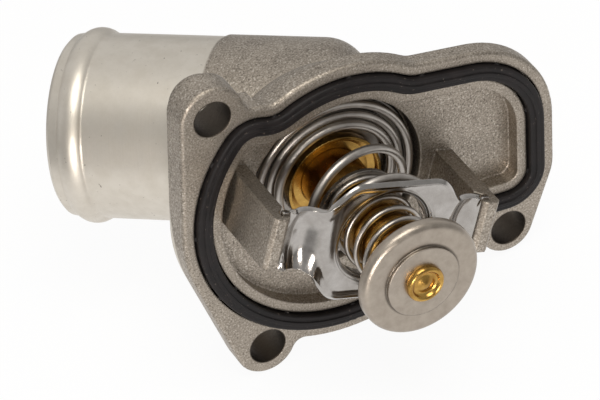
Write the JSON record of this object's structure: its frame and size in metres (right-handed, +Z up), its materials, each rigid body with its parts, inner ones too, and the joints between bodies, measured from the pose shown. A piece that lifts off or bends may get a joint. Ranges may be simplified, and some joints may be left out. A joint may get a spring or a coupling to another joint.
{
  "type": "engine coolant temperature valve in an outlet housing",
  "caption": "Wax-driven coolant valve with a bypass disc, built into a cast outlet housing with a hose neck, a flanged face, a rubber seal and bolt holes.",
  "frame": {"origin": "where the valve axis crosses the plane of the mounting face", "axes": "the mounting face is the XZ plane and faces -Y, towards the engine; the valve axis is the Y axis; +Z is up, towards the single upper bolt hole; the hose neck leaves towards -X and +Y"},
  "size_m": [0.1007, 0.1088, 0.0791],
  "materials": {
    "housing": "shot-blasted casting",
    "seal": "moulded, matt",
    "strap": "polished sheet",
    "main_valve": "pressed sheet",
    "valve_rubber": "moulded, matt",
    "valve_dish": "pressed sheet",
    "capsule": "drawn, satin",
    "capsule_guide": "turned",
    "boot_washer": "smooth",
    "rubber_boot": "moulded, matt",
    "wax_charge": "waxy",
    "piston": "ground",
    "spring_seat": "pressed sheet",
    "bypass_disc": "pressed, tumbled",
    "main_spring": "drawn wire",
    "bypass_spring": "drawn wire"
  },
  "bodies": {
    "outlet": {"housing": "housing", "seal": "seal", "strap": "strap", "piston": "piston", "main_spring": "main_spring"},
    "element": {"capsule": "capsule", "capsule_guide": "capsule_guide", "boot_washer": "boot_washer", "rubber_boot": "rubber_boot", "wax_charge": "wax_charge", "main_valve": "main_valve", "valve_rubber": "valve_rubber", "valve_dish": "valve_dish", "spring_seat": "spring_seat", "bypass_spring": "bypass_spring"},
    "bypass": {"bypass_disc": "bypass_disc"}
  },
  "joints": [
    {"name": "element_slide", "type": "slide", "parent": "outlet", "child": "element", "axis": [0, -1, 0], "range_m": [0, 0.008], "stiffness_N_per_m": 4000, "springref_m": -0.01, "deforming": ["main_spring"]},
    {"name": "bypass_slide", "type": "slide", "parent": "element", "child": "bypass", "axis": [0, 1, 0], "range_m": [0, 0.005], "stiffness_N_per_m": 1500, "springref_m": -0.004, "deforming": ["bypass_spring"]}
  ]
}
